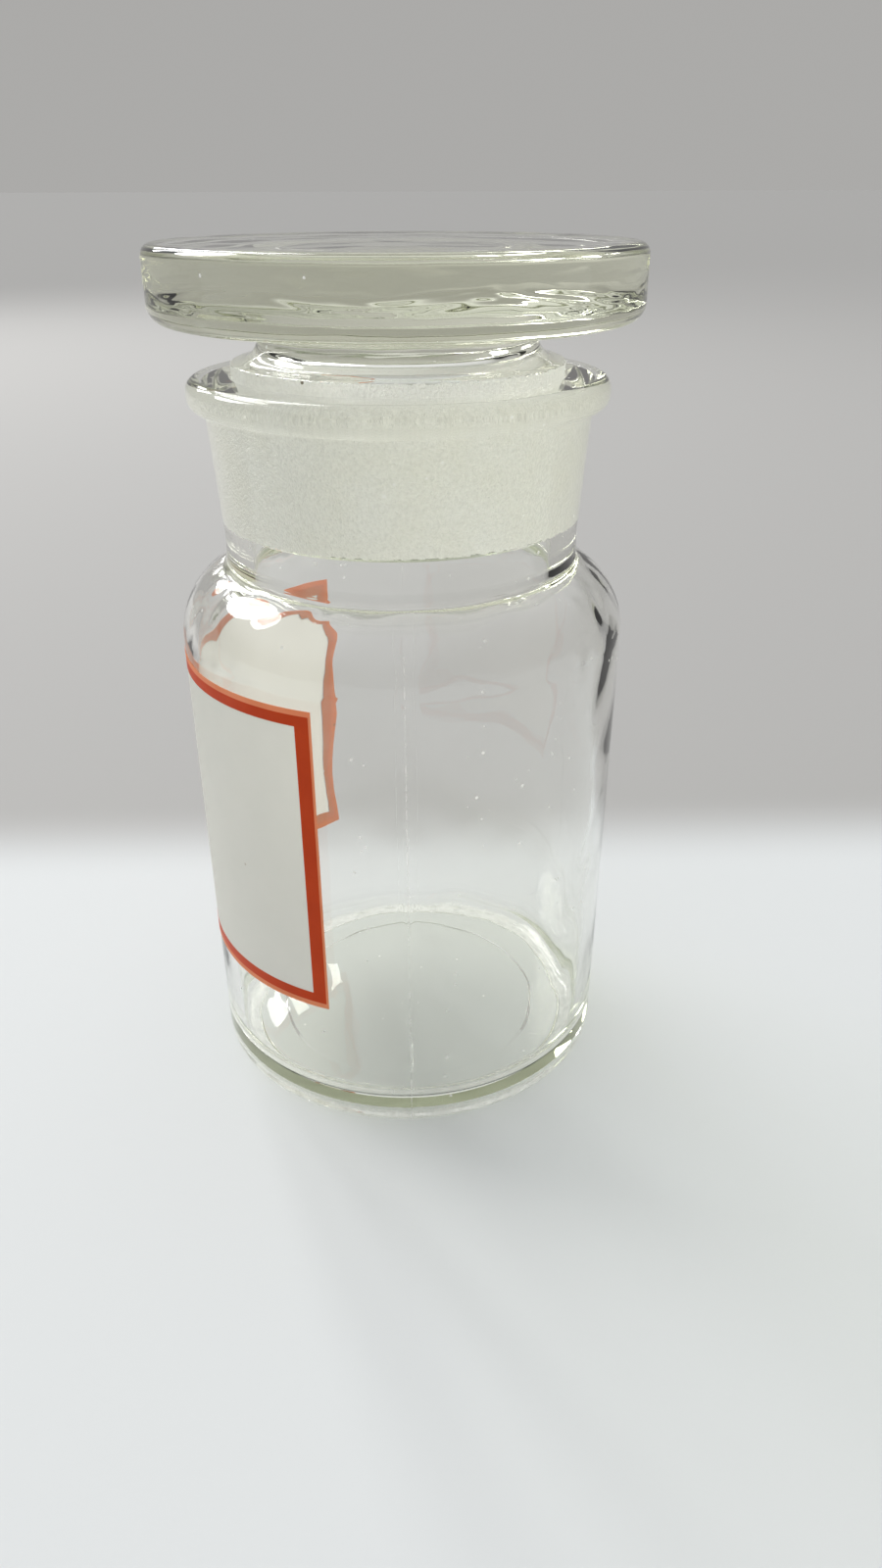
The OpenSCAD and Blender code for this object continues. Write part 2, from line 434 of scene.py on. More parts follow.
def bottle_outline():
    """The closed outline of the bottle's glass."""
    shoulder = (body_top_r - shoulder_r, shoulder_z)
    ring_out = body_base_r - heel_r
    ring_in = ring_out - ring_w
    fillet_x = neck_foot_r + fillet_r
    fillet_up = touch(fillet_x, shoulder_r + fillet_r)
    fillet_a = math.degrees(math.atan2(fillet_up, fillet_x - shoulder[0]))
    lip_c = flange_r - flange_edge
    inner_r = shoulder_r - wall
    throat_r = bore_r(throat_z)
    lip_x = throat_r + throat_lip
    lip_up = touch(lip_x, inner_r + throat_lip)
    lip_a = math.degrees(math.atan2(lip_up, lip_x - shoulder[0]))
    corner_z = floor_z + corner_r
    corner_x = body_r(corner_z) - wall - corner_r
    return chain(
        dome(mark_r, step_h + mark_h, push_up),
        [(mark_r + mark_h, step_h), (ring_in - step_h, step_h)],
        [(ring_in, 0)],
        arc((ring_out, heel_r), heel_r, -90, 0),
        arc(shoulder, shoulder_r, 0, fillet_a, 2 * ARC_STEPS),
        arc((fillet_x, shoulder_z + fillet_up), fillet_r, 180 + fillet_a, 180),
        [(neck_foot_r, foot_z)],
        [(neck_top_r, rim_z - flange_t)],
        lined_arc((lip_c, rim_z - flange_t + flange_edge), flange_edge, -90, 0),
        arc((lip_c, rim_z - flange_edge), flange_edge, 0, 90),
        [(bore_top_r + rim_bevel, rim_z)],
        [(bore_r(rim_z - rim_bevel), rim_z - rim_bevel)],
        [(throat_r, throat_z)],
        arc((lip_x, shoulder_z + lip_up), throat_lip, 180, 180 + lip_a),
        arc(shoulder, inner_r, lip_a, 0, 2 * ARC_STEPS),
        arc((corner_x, corner_z), corner_r, 0, -90),
        reversed_list(dome(corner_x, floor_z, push_up)),
    )


def reversed_list(points):
    """The same points in the opposite order."""
    return list(reversed(points))


outline = bottle_outline()
bottle = turn("bottle_glass", outline)
print("bottle outline has", len(outline), "points, the glass", len(bottle.data.polygons), "faces")

# %% Outline of the stopper


def stopper_outline():
    """The closed outline of the stopper: hollow, ground cone, flare, waist and head."""
    cone = lambda z: bore_r(z) - seat_gap
    flare_z = ground_top_z + flare_r + flare_step
    hollow_x = hollow_r - hollow_draft - hollow_corner
    return chain(
        [(0, hollow_top_z)],
        arc((hollow_x, hollow_top_z - hollow_corner), hollow_corner, 90, 0),
        [(hollow_r, plug_z)],
        [(cone(plug_z) - plug_bevel, plug_z)],
        [(cone(plug_z + plug_bevel), plug_z + plug_bevel)],
        [(cone(ground_top_z), ground_top_z)],
        arc((waist_r + flare_r, flare_z), flare_r, -90, -180),
        [(waist_r, head_z)],
        arc((head_r - head_foot, head_z + head_foot), head_foot, -90, 0),
        arc((head_r - head_edge, top_z - head_edge), head_edge, 0, 90),
        [(0, top_z)],
    )


outline = stopper_outline()
stopper = turn("stopper_glass", outline)
print("stopper outline has", len(outline), "points, the glass", len(stopper.data.polygons), "faces")

# %% [markdown]
# ## Unevenness
#
# Pressed and blown glass is true where it met the mould and slightly wavy where it didn't: on the
# inside of the body, in the hollow of the stopper and on its flat faces. A Displace modifier moves
# those points along their normals by a cloud pattern, weighted by a vertex group, so that the
# outside of the body, the ground joint and the resting ring stay exact.

# %% Wavy inner faces


def make_wavy(piece, name, weight_of, wave, depth, middle=0.5):
    """Moves points along their normals by clouds of size wave, where weight_of allows. middle is the
    cloud value that stays put: at 1 every move goes into the glass."""
    group = piece.vertex_groups.new(name=name)
    count = 0
    for vertex in piece.data.vertices:
        weight = weight_of(math.hypot(vertex.co.x, vertex.co.y), vertex.co.z)
        if weight > 0:
            group.add([vertex.index], weight, "REPLACE")
            count += 1
    clouds = bpy.data.textures.new(name, "CLOUDS")
    clouds.noise_scale = wave
    clouds.noise_depth = 1
    bpy.ops.object.select_all(action="DESELECT")
    bpy.context.view_layer.objects.active = piece
    piece.select_set(True)
    modifier = piece.modifiers.new(name, "DISPLACE")
    modifier.texture = clouds
    modifier.texture_coords = "LOCAL"
    modifier.vertex_group = group.name
    modifier.strength = depth
    modifier.mid_level = middle
    bpy.ops.object.modifier_apply(modifier=name)
    print(piece.name, "is uneven at", count, "points, by up to", round(depth / MM / 2, 2), "mm")


def ease(value, low, high):
    """0 below low, 1 above high and a straight rise between."""
    return min(1.0, max(0.0, (value - low) / (high - low)))


def inside_body(radius, z):
    """The inside of the body and shoulder: calm over the floor, waviest where the shoulder begins."""
    reach = math.hypot(radius - (body_top_r - shoulder_r), z - shoulder_z)
    outside = reach > shoulder_r - wall / 2 if z > shoulder_z else radius > body_r(z) - wall / 2
    over_floor = ease(z, floor_z + corner_r, floor_z + 14 * MM) * (0.35 + 0.65 * ease(z, 20 * MM, 60 * MM))
    below_throat = 1 - ease(z, shoulder_z + 6 * MM, throat_z)
    return 0 if outside else over_floor * below_throat


def inside_shoulder(radius, z):
    """The inside of the shoulder alone, for finer ripples."""
    return inside_body(radius, z) * ease(z, shoulder_z - 4 * MM, shoulder_z)


def inside_floor(radius, z):
    """The floor inside the bottle."""
    return 1 - ease(radius, 18 * MM, 24 * MM) if step_h + push_up < z < floor_z + corner_r / 2 else 0


def head_faces(radius, z):
    """The flat faces of the stopper's head, away from its rounded edge and its waist."""
    on_top, below = z > top_z - 0.1 * MM, abs(z - head_z) < 0.1 * MM
    inside_edge = 1 - ease(radius, head_r - 5 * MM, head_r - head_foot)
    return inside_edge * (1 if on_top else 0.4) if on_top or below else 0


def waist_and_hollow(radius, z):
    """The waist and the flare under the head, and the hollow inside the cone."""
    on_waist = ground_top_z + 0.3 * MM < z < head_z - 0.2 * MM
    in_hollow = plug_z + 1 * MM < z and radius < hollow_r + 0.2 * MM and z < hollow_top_z + 0.1 * MM
    return 0.6 if on_waist else (1 if in_hollow else 0)


make_wavy(bottle, "inner_wall", inside_body, wave=11 * MM, depth=0.5 * MM)
make_wavy(bottle, "inner_shoulder", inside_shoulder, wave=5.5 * MM, depth=0.26 * MM)
make_wavy(bottle, "inner_floor", inside_floor, wave=9 * MM, depth=0.2 * MM)
make_wavy(stopper, "head_faces", head_faces, wave=9 * MM, depth=0.3 * MM, middle=1.0)
make_wavy(stopper, "waist_and_hollow", waist_and_hollow, wave=7 * MM, depth=0.3 * MM)

# %% [markdown]
# ## The mould seams
#
# The two halves of the mould leave a hair-fine raised line up each side of the body. Two columns of
# points beside each seam are drawn close to it, and the column on it is raised.

# %% Mould seams
SEAM_HALF_WIDTH = 0.2 * MM
SEAM_HEIGHT = 0.12 * MM
SEAM_TOP = foot_z - 2 * MM


def raise_seams(piece):
    """Gathers the outside's columns beside each seam and lifts the middle one."""
    lifted = 0
    step = 2 * math.pi / TURN_STEPS
    for vertex in piece.data.vertices:
        x, y, z = vertex.co
        radius = math.hypot(x, y)
        on_wall = z < shoulder_z and radius > body_r(z) - wall / 2
        on_shoulder = z >= shoulder_z and math.hypot(radius - (body_top_r - shoulder_r),
                                                     z - shoulder_z) > shoulder_r - wall / 2
        if not heel_r < z < SEAM_TOP or not (on_wall or on_shoulder):
            continue
        around = math.atan2(y, x) - SEAM_TURN
        off = (around + math.pi / 2) % math.pi - math.pi / 2
        if abs(off) > 1.5 * step:
            continue
        if abs(off) < step / 2:
            radius += SEAM_HEIGHT * (0.7 + 0.3 * math.sin(z / (1.3 * MM)) * math.sin(z / (4.1 * MM)))
            lifted += 1
        else:
            around += math.copysign(SEAM_HALF_WIDTH / radius, off) - off
        vertex.co.x = radius * math.cos(around + SEAM_TURN)
        vertex.co.y = radius * math.sin(around + SEAM_TURN)
    print("the seams have", lifted, "raised points")


raise_seams(bottle)

# %% [markdown]
# ## Patterns that materials share
#
# Dust, grain, the zone of the ground joint, scuffs, ripple and fired enamel are each used by more
# than one material. Each is built once, as a node group with named inputs and outputs, and then
# placed with a material's own values. Four small helpers keep the groups short: `compute` for a Math
# node, `noise` for a noise value, and `height_of` and `radius_of` for where a point lies.

# %% Helpers for shared patterns
SOCKETS = {"vector": "NodeSocketVector", "value": "NodeSocketFloat", "colour": "NodeSocketColor"}


def new_group(name, inputs, outputs):
    """A node group with its named sockets. Returns the group and the sockets inside it."""
    group = bpy.data.node_groups.new(name, "ShaderNodeTree")
    for label, kind in inputs.items():
        group.interface.new_socket(label, in_out="INPUT", socket_type=SOCKETS[kind])
    for label, kind in outputs.items():
        group.interface.new_socket(label, in_out="OUTPUT", socket_type=SOCKETS[kind])
    return group, put(group, "NodeGroupInput").outputs, put(group, "NodeGroupOutput").inputs


def place(tree, group, values, links):
    """Puts a group into a tree with its own values and its linked inputs. Returns its outputs."""
    node = put(tree, "ShaderNodeGroup", node_tree=group)
    for label, value in values.items():
        node.inputs[label].default_value = value
    for label, source in links.items():
        join(tree, source, node.inputs[label])
    return node.outputs


def compute(tree, operation, *inputs):
    """A Math node. Each input is a number or a socket."""
    node = put(tree, "ShaderNodeMath", operation=operation)
    for slot, value in zip(node.inputs, inputs):
        if isinstance(value, (int, float)):
            slot.default_value = value
        else:
            join(tree, value, slot)
    return node.outputs[0]


def noise(tree, vector, scale, **settings):
    """The value of a Noise texture."""
    node = put(tree, "ShaderNodeTexNoise", {"Scale": scale, **settings})
    join(tree, vector, node.inputs["Vector"])
    return node.outputs["Fac"]


def height_of(tree, vector):
    """Height of a point over the bench."""
    parts = put(tree, "ShaderNodeSeparateXYZ")
    join(tree, vector, parts.inputs[0])
    return parts.outputs["Z"]


def radius_of(tree, vector):
    """Distance of a point from the bottle's axis."""
    level = put(tree, "ShaderNodeVectorMath", {1: (1, 1, 0)}, operation="MULTIPLY")
    length = put(tree, "ShaderNodeVectorMath", operation="LENGTH")
    join(tree, vector, level.inputs[0])
    join(tree, level.outputs["Vector"], length.inputs[0])
    return length.outputs["Value"]


def mix_colours(tree, factor, first, second, blend="MIX"):
    """A Mix node for colours. Each input is a colour, a number for the factor, or a socket."""
    node = put(tree, "ShaderNodeMix", data_type="RGBA", blend_type=blend)
    for label, value in (("Factor", factor), ("A", first), ("B", second)):
        if isinstance(value, tuple):
            node.inputs[label].default_value = (*value, 1)
        elif isinstance(value, (int, float)):
            node.inputs[label].default_value = value
        else:
            join(tree, value, node.inputs[label])
    return node.outputs["Result"]


print("shared patterns use", len(SOCKETS), "kinds of socket")

# %% [markdown]
# Specks are the dust that lies on glass and the pinholes in enamel. A cell pattern gives each cell
# one dot, and a random share of the cells keeps it.

# %% Specks


def make_specks():
    """A mask of scattered small dots: 1 on a dot and 0 between."""
    inputs = {"Vector": "vector", "Scale": "value", "Dot Size": "value", "Share": "value"}
    group, source, target = new_group("Specks", inputs, {"Mask": "value"})
    cells = put(group, "ShaderNodeTexVoronoi")
    parts = put(group, "ShaderNodeSeparateColor")
    join(group, source["Vector"], cells.inputs["Vector"])
    join(group, source["Scale"], cells.inputs["Scale"])
    join(group, cells.outputs["Color"], parts.inputs["Color"])
    dot = compute(group, "LESS_THAN", cells.outputs["Distance"], source["Dot Size"])
    chosen = compute(group, "LESS_THAN", parts.outputs["Red"], source["Share"])
    join(group, compute(group, "MULTIPLY", dot, chosen), target["Mask"])
    return group


specks = make_specks()
print(specks.name, "takes", [item.name for item in specks.interface.items_tree])

# %% [markdown]
# The ground joint is a ring-shaped zone of the same glass, matt where the stopper was ground into
# the neck. Its edge is slightly ragged. Ground glass is covered in tiny pits: up close it sparkles,
# and through the clear wall it looks creamy, with a few dark grains caught in it. The sparkle is
# painted in part: the grain speckles the colour between nine tenths and full brightness. The part
# that stands above the rim is seen bare, so its pits look deeper.

# %% Zone and look of the ground joint
RAGGED = 0.9 * MM              # how far the zone's edge wanders
PIT_DEPTH = 0.28 * MM
BARE_PIT_DEPTH = 0.12 * MM     # added above the rim


def make_ground_zone():
    """1 within half a height and half a width of the zone's middle, and 0 elsewhere."""
    inputs = {"Vector": "vector", "Height": "value", "Half Height": "value",
              "Radius": "value", "Half Width": "value"}
    group, source, target = new_group("Ground Zone", inputs, {"Mask": "value"})
    wander = noise(group, source["Vector"], 900.0, Detail=2.0)
    height = compute(group, "MULTIPLY_ADD", wander, RAGGED, height_of(group, source["Vector"]))
    height = compute(group, "SUBTRACT", height, RAGGED / 2)
    in_height = compute(group, "COMPARE", height, source["Height"], source["Half Height"])
    in_width = compute(group, "COMPARE", radius_of(group, source["Vector"]), source["Radius"],
                       source["Half Width"])
    join(group, compute(group, "MULTIPLY", in_height, in_width), target["Mask"])
    return group


def make_ground_look():
    """Colour and normal of ground glass inside the zone. Outside it both stay as they are."""
    inputs = {"Vector": "vector", "Zone": "value", "Rim Height": "value", "Normal": "vector"}
    group, source, target = new_group("Ground Look", inputs, {"Color": "colour", "Normal": "vector"})
    vector, zone = source["Vector"], source["Zone"]
    grain = noise(group, vector, 2600.0, Detail=3.0, Roughness=0.7)
    cloud = noise(group, vector, 160.0, Detail=4.0)
    cream = ramp(group, cloud, [(0.3, (0.985, 0.98, 0.94)), (0.7, (1.0, 1.0, 0.985))])
    # Painted sparkle, in part: the grain speckles the colour between nine tenths and full brightness.
    pits_and_sparkle = ramp(group, grain, [(0.36, 0.90), (0.60, 1.0)])
    matt = mix_colours(group, 1.0, cream.outputs["Color"], pits_and_sparkle.outputs["Color"], "MULTIPLY")
    caught = place(group, specks, {"Scale": 230.0, "Dot Size": 0.06, "Share": 0.12},
                   {"Vector": vector})["Mask"]
    caught = compute(group, "MULTIPLY", caught, zone)
    tone = mix_colours(group, zone, (1, 1, 1), matt)
    join(group, mix_colours(group, caught, tone, (0.16, 0.13, 0.09)), target["Color"])
    bare = compute(group, "GREATER_THAN", height_of(group, vector), source["Rim Height"])
    bump = put(group, "ShaderNodeBump")
    join(group, compute(group, "MULTIPLY_ADD", bare, BARE_PIT_DEPTH, PIT_DEPTH), bump.inputs["Distance"])
    join(group, compute(group, "MULTIPLY", zone, 0.8), bump.inputs["Strength"])
    join(group, grain, bump.inputs["Height"])
    join(group, source["Normal"], bump.inputs["Normal"])
    join(group, bump.outputs["Normal"], target["Normal"])
    return group


ground_zone = make_ground_zone()
ground_look = make_ground_look()
print("the joint's edge wanders by up to", RAGGED / 2 / MM, "mm")

# %% [markdown]
# Pressed glass keeps a slow ripple from the mould, drawn out level on the stopper. The ring that the
# bottle rests on is scuffed by use.

# %% Ripple and scuffs


def make_ripple():
    """A normal that sways slowly. Stretch over 1 draws the waves out level."""
    inputs = {"Vector": "vector", "Scale": "value", "Depth": "value", "Stretch": "value"}
    group, source, target = new_group("Ripple", inputs, {"Normal": "vector"})
    factors = put(group, "ShaderNodeCombineXYZ", {"X": 1.0, "Y": 1.0})
    drawn = put(group, "ShaderNodeVectorMath", operation="MULTIPLY")
    join(group, source["Stretch"], factors.inputs["Z"])
    join(group, source["Vector"], drawn.inputs[0])
    join(group, factors.outputs["Vector"], drawn.inputs[1])
    waves = put(group, "ShaderNodeTexNoise", {"Detail": 2.0, "Distortion": 0.4})
    join(group, drawn.outputs["Vector"], waves.inputs["Vector"])
    join(group, source["Scale"], waves.inputs["Scale"])
    bump = put(group, "ShaderNodeBump", {"Strength": 1.0})
    join(group, waves.outputs["Fac"], bump.inputs["Height"])
    join(group, source["Depth"], bump.inputs["Distance"])
    join(group, bump.outputs["Normal"], target["Normal"])
    return group


def make_scuffs():
    """1 below a height, where the glass is scuffed by the bench, broken up in patches."""
    group, source, target = new_group("Scuffs", {"Vector": "vector", "Height": "value"},
                                      {"Mask": "value"})
    low = compute(group, "LESS_THAN", height_of(group, source["Vector"]), source["Height"])
    patches = noise(group, source["Vector"], 420.0, Detail=3.0)
    share = ramp(group, patches, [(0.35, 0.55), (0.6, 1.0)])
    join(group, compute(group, "MULTIPLY", low, share.outputs["Color"]), target["Mask"])
    return group


ripple = make_ripple()
scuffs = make_scuffs()
print("groups so far:", sorted(group.name for group in bpy.data.node_groups))

# %% [markdown]
# ## Glass
#
# Clear glass is a Principled shader with full transmission. Its green shows only in depth, so it is
# an absorption inside the volume and not a surface colour. Lamps light what stands behind and under
# glass: for rays from a lamp and for diffuse bounces the surface is simply transparent, which keeps
# the bench under the bottle as bright as it really is. Thick glass also keeps light going round
# inside it. After a few mirrorings that light is let straight out with a slight tint, because the
# renderer would otherwise drop it and leave black patches.
#
# Where the glass is ground, dusty or scuffed, the clear surface is mixed with a scattering one, half
# of it sent back and half let through. Along the seams the same mix draws a painted highlight, a thin
# whitish line. Both glass pieces have one material each, so that each body of glass has one volume.

# %% Clear and ground glass in one material
GROUND_SCATTER = 0.7      # share of the matt surface that scatters instead of bending light
GROUND_GLOW = 0.5         # share of the scattered light that goes through
DEPTH_COLOUR = (0.848, 0.858, 0.70, 1)
MIRRORINGS = 6            # after so many, light that glass keeps inside is let out again
TRAPPED_TINT = (0.83, 0.85, 0.78)
SCUFFED_BELOW = 0.3 * MM
SEAM_HIGHLIGHT_HALF_WIDTH = 0.09 * MM     # half width of the painted highlight along each seam
SEAM_HIGHLIGHT_SHARE = 0.4


def seam_highlight_line(tree, spot):
    """1 on the seams' painted highlights, thin whitish lines up the outside of the body, broken up along
    them.
    """
    across = put(tree, "ShaderNodeVectorMath", operation="DOT_PRODUCT")
    across.inputs[1].default_value = (-math.sin(SEAM_TURN), math.cos(SEAM_TURN), 0)
    join(tree, spot, across.inputs[0])
    on_line = compute(tree, "COMPARE", across.outputs["Value"], 0.0, SEAM_HIGHLIGHT_HALF_WIDTH)
    outside = compute(tree, "GREATER_THAN", radius_of(tree, spot), body_base_r - wall / 4)
    broken = ramp(tree, noise(tree, spot, 700.0, Detail=3.0), [(0.4, 0.15), (0.62, 1.0)])
    line = compute(tree, "MULTIPLY", on_line, outside)
    return compute(tree, "MULTIPLY", line, broken.outputs["Color"])


def scattering_surface(tree, colour, normal):
    """A surface that sends light back and lets light through, both without direction."""
    back, through = put(tree, "ShaderNodeBsdfDiffuse"), put(tree, "ShaderNodeBsdfTranslucent")
    both = put(tree, "ShaderNodeMixShader", {"Fac": GROUND_GLOW})
    for slot, shader in enumerate((back, through), start=1):
        join(tree, colour, shader.inputs["Color"])
        join(tree, normal, shader.inputs["Normal"])
        join(tree, shader.outputs[0], both.inputs[slot])
    return both.outputs[0]


def let_light_pass(tree, surface, ground):
    """Makes the surface transparent to lamps, to diffuse bounces and to light kept inside."""
    rays = put(tree, "ShaderNodeLightPath").outputs
    trapped = compute(tree, "GREATER_THAN", rays["Ray Depth"], MIRRORINGS - 0.5)
    passing = compute(tree, "MAXIMUM", rays["Is Shadow Ray"], rays["Is Diffuse Ray"])
    shade = ramp(tree, ground, [(0.0, (0.98, 0.985, 0.975)), (1.0, (0.97, 0.965, 0.945))])
    clear = put(tree, "ShaderNodeBsdfTransparent")
    mix = put(tree, "ShaderNodeMixShader")
    join(tree, mix_colours(tree, trapped, shade.outputs["Color"], TRAPPED_TINT), clear.inputs["Color"])
    join(tree, compute(tree, "MAXIMUM", passing, trapped), mix.inputs["Fac"])
    join(tree, surface, mix.inputs[1])
    join(tree, clear.outputs[0], mix.inputs[2])
    return mix.outputs[0]


def glass(name, zone, density, waves, highlight_marks=None):
    """Soda glass with its own ground zone, depth of green and ripple. The last argument, if given, adds a
    painted highlight: a thin whitish line that scatters light.
    """
    material, tree, output = new_material(name)
    spot = put(tree, "ShaderNodeTexCoord").outputs["Object"]
    at = {"Vector": spot}
    ground = place(tree, ground_zone, zone, at)["Mask"]
    dust = place(tree, specks, {"Scale": 420.0, "Dot Size": 0.09, "Share": 0.16}, at)["Mask"]
    worn = place(tree, scuffs, {"Height": SCUFFED_BELOW}, at)["Mask"]
    sway = place(tree, ripple, waves, at)["Normal"]
    look = place(tree, ground_look, {"Rim Height": rim_z}, {**at, "Zone": ground, "Normal": sway})

    rough = compute(tree, "MAXIMUM", compute(tree, "MULTIPLY", ground, 0.5),
                    compute(tree, "MULTIPLY", dust, 0.4))
    scatter = compute(tree, "MAXIMUM", compute(tree, "MULTIPLY", ground, GROUND_SCATTER),
                      compute(tree, "MULTIPLY", dust, 0.8))
    scatter = compute(tree, "MAXIMUM", scatter, compute(tree, "MULTIPLY", worn, 0.85))
    # Painted highlight along the seams: a thin whitish line of scattering surface.
    if highlight_marks:
        scatter = compute(tree, "MAXIMUM", scatter,
                          compute(tree, "MULTIPLY", highlight_marks(tree, spot), SEAM_HIGHLIGHT_SHARE))
    shader = put(tree, "ShaderNodeBsdfPrincipled", {"IOR": 1.52, "Transmission Weight": 1.0})
    join(tree, look["Color"], shader.inputs["Base Color"])
    join(tree, look["Normal"], shader.inputs["Normal"])
    join(tree, rough, shader.inputs["Roughness"])
    surface = put(tree, "ShaderNodeMixShader")
    join(tree, scatter, surface.inputs["Fac"])
    join(tree, shader.outputs["BSDF"], surface.inputs[1])
    join(tree, scattering_surface(tree, look["Color"], look["Normal"]), surface.inputs[2])
    join(tree, let_light_pass(tree, surface.outputs[0], ground), output.inputs["Surface"])
    depth = put(tree, "ShaderNodeVolumeAbsorption", {"Color": DEPTH_COLOUR, "Density": density})
    join(tree, depth.outputs["Volume"], output.inputs["Volume"])
    return material


print("glass lets trapped light out after", MIRRORINGS, "mirrorings")

# %% [markdown]
# The bottle's zone ends below the rim's bevel, and the stopper's runs up to the flare. The stopper's
# head is thick and shows the deepest waves.

# %% Give both pieces their glass


def joint_zone(low_z, high_z, low_r=19.5 * MM, high_r=21.2 * MM):
    """Middle and half size of the ground zone."""
    return {"Height": (low_z + high_z) / 2, "Half Height": (high_z - low_z) / 2,
            "Radius": (low_r + high_r) / 2, "Half Width": (high_r - low_r) / 2}


bottle.data.materials.append(glass(
    "bottle_soda_glass", joint_zone(plug_z + plug_bevel, rim_z - rim_bevel), 30.0,
    {"Scale": 70.0, "Depth": 0.05 * MM, "Stretch": 1.0}, highlight_marks=seam_highlight_line))
stopper.data.materials.append(glass(
    "stopper_soda_glass", joint_zone(plug_z + plug_bevel, ground_top_z), 22.0,
    {"Scale": 60.0, "Depth": 0.18 * MM, "Stretch": 5.0}))

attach(bottle, "bottle_body")
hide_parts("bottle")
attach(stopper, "stopper_body")
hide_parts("stopper")
print("materials:", sorted(material.name for material in bpy.data.materials))

# %% [markdown]
# ## The label
#
# The label isn't paper. Two enamels were screened on the glass and fired: first a white panel, then
# an orange-red frame that was meant to cover the panel's edge. The frame is a little wider than the
# panel, so its inner part lies on white and looks deep, and its outer part lies on bare glass. There
# its paler colour is painted light: the glow of light that comes through the glass from behind. Both
# layers sink a hair into the wall here, so that from inside the glass touches them without a film of air.

# %% Label sizes
label_z, label_top_z = label_low[2], label_high[2]
label_half = math.asin(label_high[0] / (body_r(label_top_z) + 0.15 * MM))
frame_w = 2.2 * MM
bare_w = 0.75 * MM             # the frame's outer part, on bare glass
bare_side_w = 0.35 * MM        # the same on the side where the panel sits close to the frame's edge
enamel = 0.06 * MM
sunk = 0.02 * MM
LABEL_STEPS = 150
print("label is", round((label_top_z - label_z) / MM, 1), "mm high and covers",
      round(math.degrees(2 * label_half), 1), "degrees")


def label_angle(width):
    """Angle that a width takes on the body's wall."""
    return width / body_r((label_z + label_top_z) / 2)


def wrap(name, z_values, low_angle, high_angle, lift):
    """An open sheet on the wall: an upright line of points, spun clockwise through the angles."""
    bpy.ops.object.select_all(action="DESELECT")
    bpy.ops.mesh.primitive_plane_add(size=MM)
    sheet = bpy.context.object
    sheet.name = sheet.data.name = name
    across = Vector((math.sin(high_angle), -math.cos(high_angle), 0))
    points = [across * (body_r(z) + lift) + Vector((0, 0, z)) for z in z_values]
    bpy.ops.object.mode_set(mode="EDIT")
    bpy.ops.mesh.select_all(action="SELECT")
    bpy.ops.mesh.merge(type="CENTER")
    bpy.ops.transform.translate(value=points[0])
    for start, end in zip(points, points[1:]):
        bpy.ops.mesh.extrude_vertices_move(TRANSFORM_OT_translate={"value": end - start})
    bpy.ops.mesh.select_all(action="SELECT")
    bpy.ops.mesh.spin(steps=LABEL_STEPS, angle=high_angle - low_angle, center=(0, 0, 0), axis=(0, 0, 1))
    bpy.ops.mesh.select_all(action="SELECT")
    bpy.ops.mesh.remove_doubles(threshold=0.002 * MM)
    bpy.ops.object.mode_set(mode="OBJECT")
    return sheet


def around_of(point):
    """Angle from the middle of the label, positive towards +X."""
    return math.atan2(point.x, -point.y)


def thicken(piece, thickness):
    """Gives a sheet its thickness outwards and smooth shading, with crisp edges."""
    bpy.ops.object.select_all(action="DESELECT")
    bpy.context.view_layer.objects.active = piece
    piece.select_set(True)
    bpy.ops.object.mode_set(mode="EDIT")
    bpy.ops.mesh.select_all(action="SELECT")
    bpy.ops.mesh.normals_make_consistent(inside=False)
    bpy.ops.object.mode_set(mode="OBJECT")
    outward = sum(face.normal.dot(Vector((face.center.x, face.center.y, 0))) for face in piece.data.polygons)
    if outward < 0:
        piece.data.flip_normals()
    modifier = piece.modifiers.new("thickness", "SOLIDIFY")
    modifier.thickness = thickness
    modifier.offset = 1
    bpy.ops.object.modifier_apply(modifier="thickness")
    bpy.ops.object.shade_smooth_by_angle(angle=math.radians(40))


def levels(low, high, count):
    """count + 1 evenly spaced heights."""
    return [low + (high - low) * i / count for i in range(count + 1)]


# %% White panel
panel_low, panel_high = label_z + bare_w, label_top_z - bare_w
panel_far = label_half - label_angle(bare_w)
panel_near = label_half - label_angle(bare_side_w)
panel = wrap("enamel_panel", levels(panel_low, panel_high, 60), -panel_far, panel_near, -sunk)
thicken(panel, enamel)
print("panel has", len(panel.data.polygons), "faces")

# %% Frame
FRAME_LIFT = enamel - sunk


def cut_window(sheet):
    """Cuts the frame's bars free along the window's sides and takes the window out."""
    bar = label_half - label_angle(frame_w)
    bpy.ops.object.select_all(action="DESELECT")
    bpy.context.view_layer.objects.active = sheet
    sheet.select_set(True)
    bpy.ops.object.mode_set(mode="EDIT")
    for angle in (-panel_far, -bar, bar, panel_near):
        bpy.ops.mesh.select_all(action="SELECT")
        bpy.ops.mesh.bisect(plane_co=(0, 0, 0), plane_no=(math.cos(angle), math.sin(angle), 0))
    bpy.ops.mesh.select_all(action="DESELECT")
    bpy.ops.object.mode_set(mode="OBJECT")
    for face in sheet.data.polygons:
        face.select = (abs(around_of(face.center)) < bar
                       and label_z + frame_w < face.center.z < label_top_z - frame_w)
    bpy.ops.object.mode_set(mode="EDIT")
    bpy.ops.mesh.delete(type="FACE")
    bpy.ops.object.mode_set(mode="OBJECT")


frame_levels = (levels(label_z, panel_low, 2)[:-1] + levels(panel_low, label_z + frame_w, 3)[:-1]
                + levels(label_z + frame_w, label_top_z - frame_w, 60)[:-1]
                + levels(label_top_z - frame_w, panel_high, 3)[:-1] + levels(panel_high, label_top_z, 2))
border = wrap("enamel_frame", frame_levels, -label_half, label_half, FRAME_LIFT)
cut_window(border)
thicken(border, enamel / 2)
print("frame has", len(border.data.polygons), "faces")
